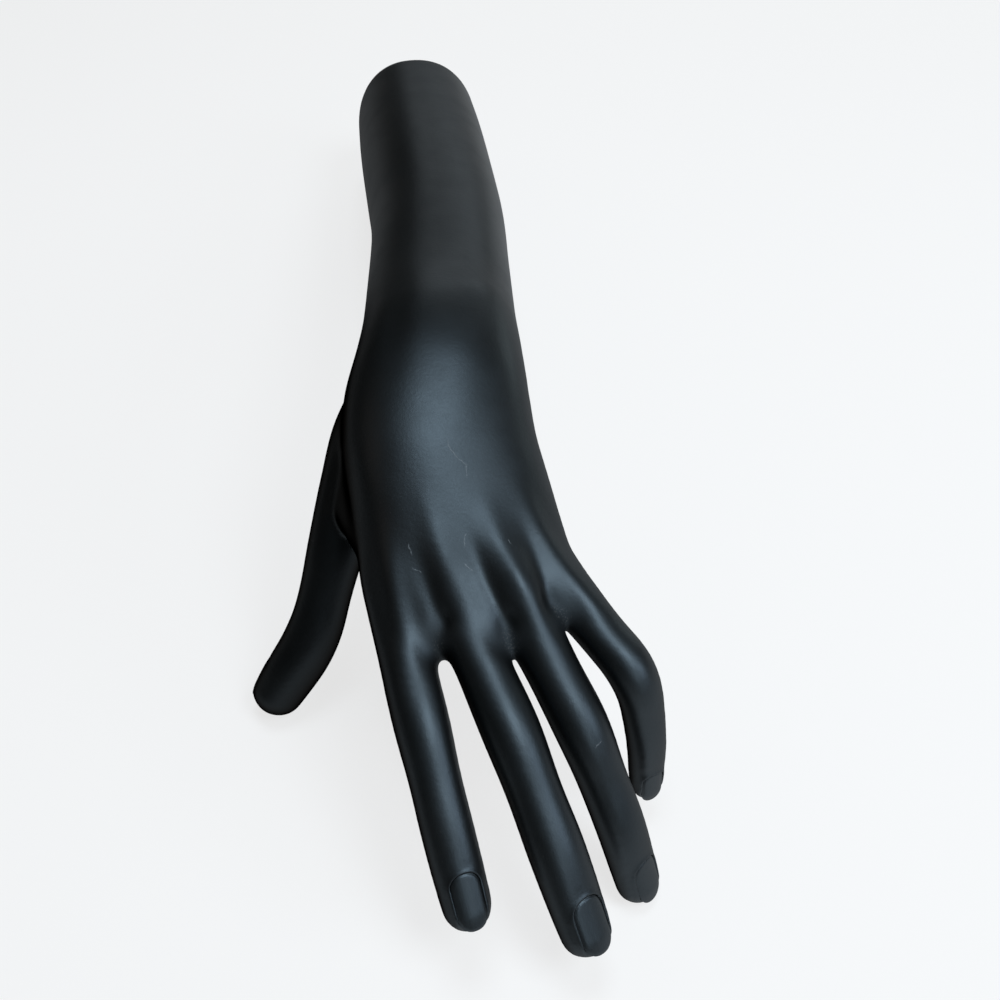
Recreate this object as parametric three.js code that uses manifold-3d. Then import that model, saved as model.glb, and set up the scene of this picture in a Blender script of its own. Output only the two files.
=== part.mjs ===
// A left display hand with its forearm, for drawing practice.
// It rests palm down, arched, on the forearm's end, the tip of the thumb and the tip of the ring finger.
// Lengths are in millimetres and angles in degrees.
// X runs across the hand towards the little finger, Y from the fingertips to the elbow, Z up.

import * as THREE from 'three';
import { mergeVertices } from 'three/addons/utils/BufferGeometryUtils.js';
import { ConvexGeometry } from 'three/addons/geometries/ConvexGeometry.js';
import Module from 'manifold-3d';

const wasm = await Module();
wasm.setup();

// Walls and clearances
const WALL = 2.4;
const GAP = 0.3;
const OPEN_PAST = 1;

// How round the sections are: 2 is an ellipse, more is squarer
const ARM_SQUARENESS = 2.25;
const DIGIT_SQUARENESS = 2.1;

// Facets
const ARM_SIDES = 24;
const DIGIT_SIDES = 12;
const HOLLOW_SIDES = 12;
const BORE_SIDES = 8;
const TURNED_SIDES = 12;
const WIRE_SIDES = 6;
const CORNER_SEGMENTS = 2;
const TIP_STEPS = 4;
const TIP_LAST_ANGLE = 85;
const ARM_STEP = 14;
const DIGIT_STEP = 6;
const FACET_TOLERANCE = 0.08;
const POINT_TOLERANCE = 1e-4;
const LEVEL_PASSES = 4;

// The arm's middle line, from the elbow end: each bone is [length, turn to the little finger's side, drop]
const FOREARM_LENGTH = 254;
const WRIST_STRETCH = 100;
const WRIST = new THREE.Vector3(-18.4, 243, 86);
const FOREARM_BONES = [[FOREARM_LENGTH - WRIST_STRETCH, 7.4, -10.5], [WRIST_STRETCH, 3, -10.5]];
const PALM_BONES = [[28, -1.5, 11], [48, 14, 14], [24, 16, 22]];
const WRIST_REACH = 20;

// A rounded corner of a middle line takes no more than this share of a bone
const CORNER_SHARE = 0.48;

// Arm sections: distance from the wrist towards the fingers, half width, height of the back side,
// depth of the palm side
const ARM_SIZES = [
  [-FOREARM_LENGTH, 29, 33, 34],
  [-200, 28.8, 31, 33],
  [-140, 27.2, 28, 31],
  [-80, 25.3, 23.5, 26],
  [-40, 24.9, 20, 21],
  [-15, 24.9, 19, 19],
  [0, 25.8, 18.5, 18],
  [20, 28, 18, 18],
  [40, 28.4, 16.5, 18],
  [60, 28.6, 14, 16],
  [76, 28.8, 11.5, 14],
  [92, 26.4, 5, 10],
  [100, 24.6, 2.5, 7],
];
const WEB_EDGE_ROUND = 6;

// The forearm's end: a rounded rim around a flat face
const RIM_IN = 12;
const RIM_ALONG = 17;
const RIM_SHARES = [0, 0.06, 0.2, 0.42, 0.7];
const PLATE_THICKNESS = 2.5;
const PLUG_DEPTH = 14;
const SCREW_COUNT = 3;
const SCREW_CIRCLE = 10;
const SCREW_LENGTH = 12;
const SCREW_SHANK = 1.5;
const SCREW_HEAD = 3;
const SCREW_CONE = 1.6;
const SLOT_WIDTH = 0.8;
const SLOT_DEPTH = 0.7;
const SLOT_LENGTH = 9;
const ROD_HOLE = 4;

// Digits: the knuckle is measured from the wrist, and the root lies behind it inside the palm,
// turned less and dropping less than the first bone.
// Each section is [distance from the knuckle, half width, height of the nail side, depth of the pad side].
const DIGITS = {
  index: {
    knuckle: [-12.3, -72, -16],
    rootBack: 34,
    bones: [[44, 15.5, 19], [27, 17, 29], [23, 19.3, 35]],
    roll: -5,
    sizes: [
      [-34, 7, 4.5, 6], [0, 8.1, 9.5, 8], [12, 7.9, 7.9, 7.8], [26, 7.6, 6.8, 7.2], [42, 7.4, 7.2, 6.8],
      [56, 6.8, 6.2, 6.4], [70, 6.8, 6, 6], [83, 6.6, 5.3, 5.6], [95, 6.1, 4.5, 4.8],
    ],
  },
  middle: {
    knuckle: [2.3, -74, -12.5],
    rootBack: 34,
    bones: [[48, 26.4, 23], [31, 25.3, 33], [26, 26, 38]],
    roll: -17,
    sizes: [
      [-34, 7, 4.5, 6], [0, 8.8, 9.5, 8], [13, 8.4, 8, 8], [28, 8, 7, 7.4], [46, 7.8, 7.4, 7],
      [62, 7.3, 6.6, 6.8], [77, 7.7, 6.6, 6.4], [91, 7.5, 5.6, 6], [105, 6.8, 4.8, 5.2],
    ],
  },
  ring: {
    knuckle: [20.1, -76, -13.5],
    rootBack: 34,
    bones: [[45, 31.8, 31], [29, 32.4, 48], [23.4, 32.4, 58]],
    roll: -17,
    sizes: [
      [-34, 7, 4.5, 6], [0, 8.6, 9.3, 8], [12, 8.3, 7.8, 7.8], [26, 7.8, 6.8, 7.2], [43, 7.6, 7.2, 6.8],
      [58, 6.9, 6.3, 6.5], [72, 7, 6.3, 6.2], [84, 7, 5.4, 5.7], [98, 6.5, 4.6, 5],
    ],
  },
  little: {
    knuckle: [31.7, -69.5, -17.5],
    rootBack: 34,
    bones: [[38, 43, 23], [21.5, 22, 64], [20, 10, 74]],
    roll: -18,
    sizes: [
      [-34, 6, 4.5, 5.5], [0, 7.8, 8.6, 7.6], [10, 7.4, 7, 7], [22, 7.1, 6, 6.4], [35, 7.1, 6.5, 6],
      [46, 6.3, 5.6, 5.7], [57, 5.7, 5.4, 5.3], [66, 5.4, 4.6, 4.9], [78, 4.7, 3.8, 4],
    ],
  },
  thumb: {
    knuckle: [-15.6, -3, -9.5],
    rootBack: 30,
    bones: [[51, -19, 26], [32, -22.5, 50], [28.5, -51, 45]],
    roll: 86,
    sizes: [
      [-30, 4, 4, 4], [-14, 8.6, 8, 8.4], [0, 12, 11, 12], [18, 13.6, 12.6, 13.6],
      [36, 11.6, 10.6, 12], [51, 9.2, 8.6, 9.4], [67, 8.4, 7.6, 8.2], [83, 8.8, 8.2, 8.2],
      [95, 8.8, 8, 8], [111, 7.6, 6.4, 7],
    ],
  },
};
const FINGERS = ['index', 'middle', 'ring', 'little'];
const ROOT_TURN_SHARE = 0.6;
const ROOT_DROP_LESS = 12;
const JOINT_REACH = 9;
const TIP_ROUND = 6;
const TIP_ROUND_LEAST = 1;

// Webs between neighbouring fingers: how far past the knuckles each one reaches, and its section
const WEB_REACH = { index: 17, middle: 17, ring: 14 };
const WEB_SIZE = { half: 4, up: 1.2, down: 5.5 };

// The ball of the thumb fills the corner between these stretches of the thumb and the index finger's root
const BALL_ALONG_THUMB = [4, 40];
const BALL_ALONG_INDEX = [-34, -6];
const BALL_SIZE = { half: 8, up: 8, down: 8 };

// The hollow stops short of the web edge, and the palm cover stops where the fingers leave the palm
const HOLLOW_END = 91;
const COVER_END = 84;
const COVER_HALF_WIDTH = 44;
const COVER_DEPTH = 44;
const THUMB_MARGIN = 1;

// Resin fill, block and wires, placed along the arm and the digits
const BLOCK_START = 50;
const WIRE_RADIUS = 1.25;
const WIRE_START = -28;
const THUMB_WIRE_START = 20;
const THUMB_FILL_START = 38;
const WIRE_END_COVER = 16;

// Nails: each plate lies in a shallow socket and stands a little proud
const NAILS = {
  index: { length: 14, width: 8 },
  middle: { length: 14.5, width: 8.7 },
  ring: { length: 13.5, width: 8.1 },
  little: { length: 11, width: 6.5 },
  thumb: { length: 15, width: 10.9 },
};
const NAIL_THICKNESS = 0.9;
const NAIL_PROUD = 0.2;
const NAIL_SETBACK = 1;
const NAIL_CORNER = 2.6;

const radians = THREE.MathUtils.degToRad;

// Direction of a bone that turns away from straight ahead and drops below level
function boneDirection(turn, drop) {
  const level = Math.cos(radians(drop));
  return new THREE.Vector3(
    Math.sin(radians(turn)) * level,
    -Math.cos(radians(turn)) * level,
    -Math.sin(radians(drop)),
  );
}

// A path through points, with each inner corner rounded over a reach on both sides
function roundedPath(points, reach) {
  const path = new THREE.CurvePath();
  let from = points[0];
  for (let i = 1; i < points.length - 1; i += 1) {
    const before = points[i - 1].clone().sub(points[i]);
    const after = points[i + 1].clone().sub(points[i]);
    const near = Math.min(reach, before.length() * CORNER_SHARE, after.length() * CORNER_SHARE);
    const start = points[i].clone().addScaledVector(before.normalize(), near);
    const end = points[i].clone().addScaledVector(after.normalize(), near);
    path.add(new THREE.LineCurve3(from, start));
    path.add(new THREE.QuadraticBezierCurve3(start, points[i], end));
    from = end;
  }
  path.add(new THREE.LineCurve3(from, points[points.length - 1]));
  return path;
}

// Size of a section at a distance, on a smooth curve through the listed sections
function sizeAt(sizes, distance) {
  const last = sizes.length - 1;
  let i = 0;
  while (i < last - 1 && distance > sizes[i + 1][0]) {
    i += 1;
  }
  const slope = (k, c) => {
    const a = sizes[Math.max(k - 1, 0)];
    const b = sizes[Math.min(k + 1, last)];
    return (b[c] - a[c]) / (b[0] - a[0]);
  };
  const span = sizes[i + 1][0] - sizes[i][0];
  const t = THREE.MathUtils.clamp((distance - sizes[i][0]) / span, 0, 1);
  const value = (c) => {
    const p0 = sizes[i][c];
    const p1 = sizes[i + 1][c];
    const m0 = slope(i, c) * span;
    const m1 = slope(i + 1, c) * span;
    const t2 = t * t;
    const t3 = t2 * t;
    return (2 * t3 - 3 * t2 + 1) * p0 + (t3 - 2 * t2 + t) * m0
      + (3 * t2 - 2 * t3) * p1 + (t3 - t2) * m1;
  };
  return { half: value(1), up: value(2), down: value(3) };
}

// A limb: a path, its section sizes, the distance at which the path starts, and a roll about the path
function makeLimb(points, reach, sizes, roll, squareness) {
  const path = roundedPath(points, reach);
  const start = sizes[0][0];
  return { path, sizes, roll, squareness, start, length: path.getLength() };
}

// Place and axes of a limb at a distance measured as in its sizes
function frameAt(limb, distance) {
  const along = THREE.MathUtils.clamp((distance - limb.start) / limb.length, 0, 1);
  const centre = limb.path.getPointAt(along);
  const ahead = limb.path.getTangentAt(along);
  centre.addScaledVector(ahead, distance - limb.start - along * limb.length);
  const level = new THREE.Vector3(-ahead.y, ahead.x, 0).normalize();
  const side = level.applyAxisAngle(ahead, radians(limb.roll));
  const up = ahead.clone().cross(side);
  return { centre, ahead, side, up };
}

const power = (value, exponent) => Math.sign(value) * Math.abs(value) ** exponent;

// Points of one section
function sectionPoints(limb, distance, size, sides) {
  const { centre, side, up } = frameAt(limb, distance);
  const points = [];
  for (let i = 0; i < sides; i += 1) {
    const angle = (2 * Math.PI * (i + 0.5)) / sides;
    const across = size.half * power(Math.cos(angle), 2 / limb.squareness);
    const rise = power(Math.sin(angle), 2 / limb.squareness) * (Math.sin(angle) > 0 ? size.up : size.down);
    points.push(centre.clone().addScaledVector(side, across).addScaledVector(up, rise));
  }
  return points;
}

// Turns a closed triangle mesh into a solid that faces out
function toSolid(geometry) {
  const bare = geometry.index ? geometry.toNonIndexed() : geometry.clone();
  bare.deleteAttribute('normal');
  bare.deleteAttribute('uv');
  const merged = mergeVertices(bare, POINT_TOLERANCE);
  return new wasm.Manifold(new wasm.Mesh({
    numProp: 3,
    vertProperties: new Float32Array(merged.attributes.position.array),
    triVerts: new Uint32Array(merged.index.array),
  }));
}

// Closed solid through rings with the same number of points, capped at both ends
function loftSolid(rings) {
  const sides = rings[0].length;
  const middle = (ring) => ring.reduce((sum, p) => sum.add(p), new THREE.Vector3()).divideScalar(sides);
  const points = [...rings.flat(), middle(rings[0]), middle(rings[rings.length - 1])];
  const firstPole = points.length - 2;
  const lastPole = points.length - 1;
  const lastRing = (rings.length - 1) * sides;
  const index = [];
  for (let i = 0; i < sides; i += 1) {
    const next = (i + 1) % sides;
    index.push(firstPole, next, i);
    index.push(lastPole, lastRing + i, lastRing + next);
    for (let r = 0; r < rings.length - 1; r += 1) {
      const a = r * sides;
      const b = a + sides;
      index.push(a + i, b + next, b + i, a + i, a + next, b + next);
    }
  }
  const geometry = new THREE.BufferGeometry();
  geometry.setAttribute('position', new THREE.Float32BufferAttribute(points.flatMap((p) => p.toArray()), 3));
  geometry.setIndex(index);
  return toSolid(geometry);
}

// Evenly spaced distances from a to b, both included
function spread(a, b, step) {
  const count = Math.max(1, Math.round((b - a) / step));
  return Array.from({ length: count + 1 }, (_, i) => a + ((b - a) * i) / count);
}

// Distances that close a rounded tip, closer together towards its end
function tipDistances(end, round) {
  const angles = Array.from({ length: TIP_STEPS }, (_, i) => (TIP_LAST_ANGLE * (i + 1)) / TIP_STEPS);
  return angles.map((angle) => end - round * (1 - Math.sin(radians(angle))));
}

// A limb with a rounded far end; inset moves its whole surface inwards
function roundLimb(limb, { from, round, inset = 0, sides, step }) {
  const end = limb.start + limb.length - inset;
  const radius = Math.max(round - inset, TIP_ROUND_LEAST);
  const shrinkStart = end - radius;
  const distances = [...spread(from, shrinkStart, step), ...tipDistances(end, radius)];
  return loftSolid(distances.map((distance) => {
    const size = sizeAt(limb.sizes, distance);
    const past = Math.max(0, distance - shrinkStart) / radius;
    const shrink = Math.sqrt(1 - past * past);
    return sectionPoints(limb, distance, {
      half: (size.half - inset) * shrink,
      up: (size.up - inset) * shrink,
      down: (size.down - inset) * shrink,
    }, sides);
  }));
}

// The arm from the forearm's end to the web edge
function armPoints() {
  const points = [WRIST.clone()];
  for (const [length, turn, drop] of [...FOREARM_BONES].reverse()) {
    points.unshift(points[0].clone().addScaledVector(boneDirection(turn, drop), -length));
  }
  for (const [length, turn, drop] of PALM_BONES) {
    points.push(points[points.length - 1].clone().addScaledVector(boneDirection(turn, drop), length));
  }
  return points;
}
const arm = makeLimb(armPoints(), WRIST_REACH, ARM_SIZES, 0, ARM_SQUARENESS);
const ARM_END = ARM_SIZES[0][0];

// Size of the arm at a distance, with its rim rounded over and its surface moved inwards
function armSize(distance, inset) {
  const size = sizeAt(arm.sizes, distance);
  const intoRim = THREE.MathUtils.clamp((ARM_END + RIM_ALONG - distance) / RIM_ALONG, 0, 1);
  const less = inset + RIM_IN * (1 - Math.sqrt(1 - intoRim * intoRim));
  return { half: size.half - less, up: size.up - less, down: size.down - less };
}

// The arm from its rim at one end to the rounded web edge at the other
function armSolid({ from, to, inset, sides, round }) {
  const rim = RIM_SHARES.map((share) => from + share * RIM_ALONG);
  const distances = [...rim, ...spread(from + RIM_ALONG, to - round, ARM_STEP), ...tipDistances(to, round)];
  return loftSolid(distances.map((distance) => {
    const size = armSize(distance, inset);
    const past = Math.max(0, distance - (to - round)) / round;
    const shrink = Math.sqrt(1 - past * past);
    return sectionPoints(arm, distance, {
      half: size.half - round * (1 - shrink),
      up: size.up * shrink,
      down: size.down * shrink,
    }, sides);
  }));
}

// Digits
function makeDigit({ knuckle, rootBack, bones, roll, sizes }) {
  const joint = WRIST.clone().add(new THREE.Vector3(...knuckle));
  const [, turn, drop] = bones[0];
  const rootDirection = boneDirection(turn * ROOT_TURN_SHARE, drop - ROOT_DROP_LESS);
  const root = joint.clone().addScaledVector(rootDirection, -rootBack);
  const points = [root, joint];
  for (const [length, boneTurn, boneDrop] of bones) {
    points.push(points[points.length - 1].clone().addScaledVector(boneDirection(boneTurn, boneDrop), length));
  }
  return makeLimb(points, JOINT_REACH, sizes, roll, DIGIT_SQUARENESS);
}
const digits = Object.fromEntries(Object.entries(DIGITS).map(([name, shape]) => [name, makeDigit(shape)]));

// A whole digit; inset moves its surface inwards, or outwards where it is below zero
function digitSolid(name, { inset = 0, sides = DIGIT_SIDES } = {}) {
  const digit = digits[name];
  return roundLimb(digit, { from: digit.start, round: TIP_ROUND, inset, sides, step: DIGIT_STEP });
}

// The smallest convex solid around small sections of two neighbours, each between two distances
function bridgeSolid(stretches, size) {
  const points = Object.entries(stretches).flatMap(([name, distances]) => distances.flatMap(
    (distance) => sectionPoints(digits[name], distance, size, BORE_SIDES),
  ));
  return toSolid(new ConvexGeometry(points));
}
const webSolid = (name, reach) => bridgeSolid(
  { [name]: [0, reach], [FINGERS[FINGERS.indexOf(name) + 1]]: [0, reach] },
  WEB_SIZE,
);
const ballOfThumb = bridgeSolid({ thumb: BALL_ALONG_THUMB, index: BALL_ALONG_INDEX }, BALL_SIZE);

const union = (solids) => solids.reduce((sum, solid) => sum.add(solid));
const larger = (a, b) => (a.volume() > b.volume() ? a : b);
const largest = (solid) => solid.decompose().reduce(larger);

// A box that follows a limb between two distances
function boxAlong(limb, { from, to, half, top, bottom }) {
  return loftSolid(spread(from, to, ARM_STEP).map((distance) => {
    const { centre, side, up } = frameAt(limb, distance);
    return [[-half, bottom], [half, bottom], [half, top], [-half, top]].map(
      ([across, rise]) => centre.clone().addScaledVector(side, across).addScaledVector(up, rise),
    );
  }));
}

// The whole outer skin, and the hollow that the half shells leave inside it
const names = Object.keys(DIGITS);
const webEdge = arm.start + arm.length;
const outerArm = armSolid({ from: ARM_END, to: webEdge, inset: 0, sides: ARM_SIDES, round: WEB_EDGE_ROUND });
const outer = union([
  outerArm,
  ballOfThumb,
  ...names.map((name) => digitSolid(name)),
  ...Object.entries(WEB_REACH).map(([name, reach]) => webSolid(name, reach)),
]);
const hollowArm = (less) => armSolid({
  from: ARM_END - OPEN_PAST, to: HOLLOW_END - less, inset: WALL + less, sides: HOLLOW_SIDES, round: WALL,
});
const hollow = union([
  hollowArm(0),
  ...names.map((name) => digitSolid(name, { inset: WALL, sides: BORE_SIDES })),
]);

// The palm cover takes the arm's lower half and the whole thumb
const coverSpace = (more) => boxAlong(arm, {
  from: ARM_END - COVER_DEPTH, to: COVER_END + more, half: COVER_HALF_WIDTH, top: more, bottom: -COVER_DEPTH,
}).add(digitSolid('thumb', { inset: -THUMB_MARGIN - more }));

// The nail's outline, rounded at its four corners, as a prism that rises from the digit's middle line
function nailPrism(name, more) {
  const digit = digits[name];
  const { length, width } = NAILS[name];
  const end = digit.start + digit.length - NAIL_SETBACK;
  const { centre, ahead, side, up } = frameAt(digit, end - length / 2);
  const x = width / 2 + more;
  const y = length / 2 + more;
  const c = NAIL_CORNER + more;
  const outline = new THREE.Shape();
  outline.moveTo(x, c - y);
  outline.lineTo(x, y - c);
  outline.absarc(x - c, y - c, c, 0, Math.PI / 2);
  outline.absarc(c - x, y - c, c, Math.PI / 2, Math.PI);
  outline.absarc(c - x, c - y, c, Math.PI, 1.5 * Math.PI);
  outline.absarc(x - c, c - y, c, 1.5 * Math.PI, 2 * Math.PI);
  const prism = new THREE.ExtrudeGeometry(outline, {
    depth: width + WALL, bevelEnabled: false, curveSegments: CORNER_SEGMENTS,
  });
  const across = side.clone().negate();
  prism.applyMatrix4(new THREE.Matrix4().makeBasis(across, ahead, up).setPosition(centre));
  return toSolid(prism);
}
const nailPlate = (name) => nailPrism(name, 0)
  .intersect(digitSolid(name, { inset: -NAIL_PROUD }))
  .subtract(digitSolid(name, { inset: NAIL_THICKNESS }));
const nailSocket = (name) => nailPrism(name, GAP).subtract(digitSolid(name, { inset: NAIL_THICKNESS + GAP }));

// The half shells
const backShell = outer.subtract(coverSpace(GAP)).subtract(hollow)
  .subtract(union(FINGERS.map(nailSocket)));
const palmShell = outer.intersect(coverSpace(0)).subtract(hollow).subtract(nailSocket('thumb'));

// A wire along a digit's middle line, or with more radius the bore that it lies in
function wireSolid(name, more) {
  const digit = digits[name];
  const start = name === 'thumb' ? THUMB_WIRE_START : WIRE_START;
  const end = digit.start + digit.length - WIRE_END_COVER;
  const radius = WIRE_RADIUS + more;
  const size = { half: radius, up: radius, down: radius };
  const distances = spread(start, end, DIGIT_STEP);
  distances[0] -= more;
  distances[distances.length - 1] += more;
  return loftSolid(distances.map((distance) => sectionPoints(digit, distance, size, WIRE_SIDES)));
}

// Inner pieces that fill a stretch of the hollow
const armFill = (from, to) => hollowArm(GAP).intersect(boxAlong(arm, {
  from, to, half: COVER_HALF_WIDTH, top: COVER_HALF_WIDTH, bottom: -COVER_HALF_WIDTH,
}));
const bores = union(FINGERS.map((name) => wireSolid(name, GAP)));
const palmBlock = armFill(BLOCK_START, HOLLOW_END).subtract(bores);
const thumbOpen = boxAlong(digits.thumb, {
  from: digits.thumb.start - WALL,
  to: THUMB_FILL_START,
  half: COVER_HALF_WIDTH,
  top: COVER_HALF_WIDTH,
  bottom: -COVER_HALF_WIDTH,
});
const emptySpace = hollowArm(0).add(thumbOpen);
const digitCore = (name) => largest(
  digitSolid(name, { inset: WALL + GAP, sides: BORE_SIDES }).subtract(emptySpace),
).subtract(wireSolid(name, GAP));

// The forearm's end: a steel plate with a threaded hole, screwed to a wooden plug
const endFrame = frameAt(arm, ARM_END);
const endMatrix = new THREE.Matrix4().makeBasis(endFrame.side, endFrame.ahead, endFrame.up.clone().negate())
  .setPosition(endFrame.centre);

// A turned piece whose axis runs into the forearm from its end; each profile point is [radius, depth]
function turnedSolid(profile, across, rise) {
  const points = profile.map(([radius, depth]) => new THREE.Vector2(radius, depth));
  const geometry = new THREE.LatheGeometry(points, TURNED_SIDES);
  geometry.applyMatrix4(new THREE.Matrix4().makeTranslation(across, 0, -rise));
  geometry.applyMatrix4(endMatrix);
  return toSolid(geometry);
}
const screwAngle = (i) => ((i + 0.5) * 2 * Math.PI) / SCREW_COUNT;
const screwPlace = (i) => [SCREW_CIRCLE * Math.sin(screwAngle(i)), SCREW_CIRCLE * Math.cos(screwAngle(i))];
const screwProfile = (more) => [
  [0, more > 0 ? -OPEN_PAST : 0],
  [SCREW_HEAD + more, more > 0 ? -OPEN_PAST : 0],
  [SCREW_HEAD + more, more],
  [SCREW_SHANK + more, SCREW_CONE + more],
  [SCREW_SHANK + more, SCREW_LENGTH],
  [0, SCREW_LENGTH + SCREW_SHANK + more],
];
const screws = Array.from({ length: SCREW_COUNT }, (_, i) => i);
const screwSpace = union(screws.map((i) => turnedSolid(screwProfile(GAP), ...screwPlace(i))));
const rodSpace = turnedSolid([
  [0, -OPEN_PAST], [ROD_HOLE, -OPEN_PAST], [ROD_HOLE, PLUG_DEPTH + OPEN_PAST], [0, PLUG_DEPTH + OPEN_PAST],
], 0, 0);
function screwSolid(i) {
  const [across, rise] = screwPlace(i);
  const slot = new THREE.BoxGeometry(SLOT_LENGTH, SLOT_DEPTH * 2, SLOT_WIDTH);
  slot.applyMatrix4(new THREE.Matrix4().makeTranslation(across, 0, -rise));
  slot.applyMatrix4(endMatrix);
  return turnedSolid(screwProfile(0), across, rise).subtract(toSolid(slot));
}
const holes = screwSpace.add(rodSpace);
const plate = armFill(ARM_END, ARM_END + PLATE_THICKNESS).subtract(holes);
const plug = armFill(ARM_END + PLATE_THICKNESS + GAP, ARM_END + PLUG_DEPTH).subtract(holes);

// Materials
const material = (color, roughness, metalness) => (
  new THREE.MeshStandardMaterial({ color, roughness, metalness })
);
const skin = material(0x17181a, 0.5, 0);
const nailGloss = material(0x1c1d20, 0.42, 0);
const resin = material(0x8a7a5c, 0.6, 0);
const steel = material(0xa8abb0, 0.35, 1);
const wood = material(0xb98f5c, 0.7, 0);

const group = new THREE.Group();

// A mesh that three.js can show, from a finished solid
function addMesh(name, solid, look) {
  const { numProp, vertProperties, triVerts } = largest(solid.simplify(FACET_TOLERANCE)).getMesh();
  const geometry = new THREE.BufferGeometry();
  geometry.setAttribute('position', new THREE.BufferAttribute(new Float32Array(vertProperties), numProp));
  geometry.setIndex(new THREE.BufferAttribute(new Uint32Array(triVerts), 1));
  geometry.computeVertexNormals();
  const mesh = new THREE.Mesh(geometry, look);
  mesh.name = name;
  group.add(mesh);
}

addMesh('back_shell', backShell, skin);
addMesh('palm_shell', palmShell, skin);
for (const name of names) {
  addMesh(`${name}_core`, digitCore(name), resin);
  addMesh(`${name}_wire`, wireSolid(name, 0), steel);
  addMesh(`${name}_nail`, nailPlate(name), nailGloss);
}
addMesh('palm_block', palmBlock, resin);
addMesh('end_plug', plug, wood);
addMesh('fitting_plate', plate, steel);
for (const i of screws) {
  addMesh(`plate_screw_${i + 1}`, screwSolid(i), steel);
}

// Turns and moves the hand until the three solids that carry it touch the table together,
// with the middle of its box above the origin
function standOn(supports) {
  const up = new THREE.Vector3(0, 0, 1);
  const lowest = (solid) => {
    const { numProp, vertProperties } = solid.getMesh();
    const points = [];
    for (let i = 0; i < vertProperties.length; i += numProp) {
      points.push(new THREE.Vector3().fromArray(vertProperties, i).applyQuaternion(group.quaternion));
    }
    return points.reduce((best, next) => (next.z < best.z ? next : best));
  };
  for (let pass = 0; pass < LEVEL_PASSES; pass += 1) {
    const [a, b, c] = supports.map(lowest);
    const normal = b.clone().sub(a).cross(c.clone().sub(a)).normalize();
    normal.multiplyScalar(Math.sign(normal.z));
    group.quaternion.premultiply(new THREE.Quaternion().setFromUnitVectors(normal, up));
  }
  const box = new THREE.Box3().setFromObject(group, true);
  const middle = box.getCenter(new THREE.Vector3());
  group.position.set(-middle.x, -middle.y, -box.min.z);
}
standOn([digitSolid('thumb'), digitSolid('ring'), outerArm]);

export default group;
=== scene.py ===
# %% [markdown]
# # A rigid display hand with its forearm
# The object is a hollow moulded hand, painted satin black, resting palm down on the end of its
# forearm, the tip of its thumb and the tip of its ring finger. It has no joints. This lesson dresses
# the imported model: one moulded skin over both half shells, nails in shallow beds, and a steel end plate.

# %% Load the frame
import math
import bmesh
import bpy
import numpy as np
from mathutils import Matrix, Vector


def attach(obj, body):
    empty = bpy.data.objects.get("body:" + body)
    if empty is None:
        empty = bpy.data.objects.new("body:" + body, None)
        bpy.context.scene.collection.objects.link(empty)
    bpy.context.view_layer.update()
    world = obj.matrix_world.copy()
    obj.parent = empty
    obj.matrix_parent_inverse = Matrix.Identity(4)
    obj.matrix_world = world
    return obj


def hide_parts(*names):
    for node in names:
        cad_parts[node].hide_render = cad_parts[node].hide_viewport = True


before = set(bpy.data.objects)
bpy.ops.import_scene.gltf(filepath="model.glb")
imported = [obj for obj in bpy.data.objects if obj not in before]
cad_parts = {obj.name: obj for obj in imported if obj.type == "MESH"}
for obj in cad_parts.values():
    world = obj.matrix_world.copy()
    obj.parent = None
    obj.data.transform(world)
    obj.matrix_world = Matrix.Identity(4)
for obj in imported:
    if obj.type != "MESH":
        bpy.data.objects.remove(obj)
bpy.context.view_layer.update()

# %% [markdown]
# ## The hand's own frame
# The shapes below are measured from the wrist, in millimetres. The hand then settles on the table by a
# small turn, so one matrix takes every finished piece to its place. The matrix turns the plane through
# the three resting points level and moves the middle of the whole box over the origin.

# %% Millimetres and the settling matrix
MM = 0.001
TABLE_NORMAL = Vector((-0.00747, -0.00759, 0.99994))
SETTLE_SHIFT = Vector((14.85136, -291.01517, -6.11379))
settle = (
    Matrix.Scale(MM, 4)
    @ Matrix.Translation(SETTLE_SHIFT)
    @ TABLE_NORMAL.rotation_difference(Vector((0, 0, 1))).to_matrix().to_4x4()
)
print("the hand's own origin lies at", [round(c, 4) for c in settle.translation])

# %% [markdown]
# ## Camera
# The photograph looks down along the fingers from a little above the fingertips. The lens is as wide as
# a phone's at close range, which makes the fingers large and the forearm small.

# %% Camera
CAMERA_HEIGHT = 282
CAMERA_DOWN = 47
LENS = SENSOR_WIDTH = 36

camera_data = bpy.data.cameras.new("camera")
camera_data.lens = LENS
camera_data.sensor_width = SENSOR_WIDTH
camera_data.clip_start = 0.01
camera = bpy.data.objects.new("camera", camera_data)
bpy.context.scene.collection.objects.link(camera)
looking = Matrix.Translation((0, 0, CAMERA_HEIGHT)) @ Matrix.Rotation(math.radians(90 - CAMERA_DOWN), 4, "X")
place, turn, _ = (settle @ looking).decompose()
camera.matrix_world = Matrix.LocRotScale(place, turn, None)
bpy.context.scene.camera = camera
print("camera at", [round(c, 4) for c in place])

# %% [markdown]
# ## Shader maths
# A material reads best as an expression. One small class wraps a socket: adding, multiplying or
# subtracting two of them adds the Math node for it. Every node is made by `node`, which sets it up first
# and then fills or links its inputs.

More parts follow.
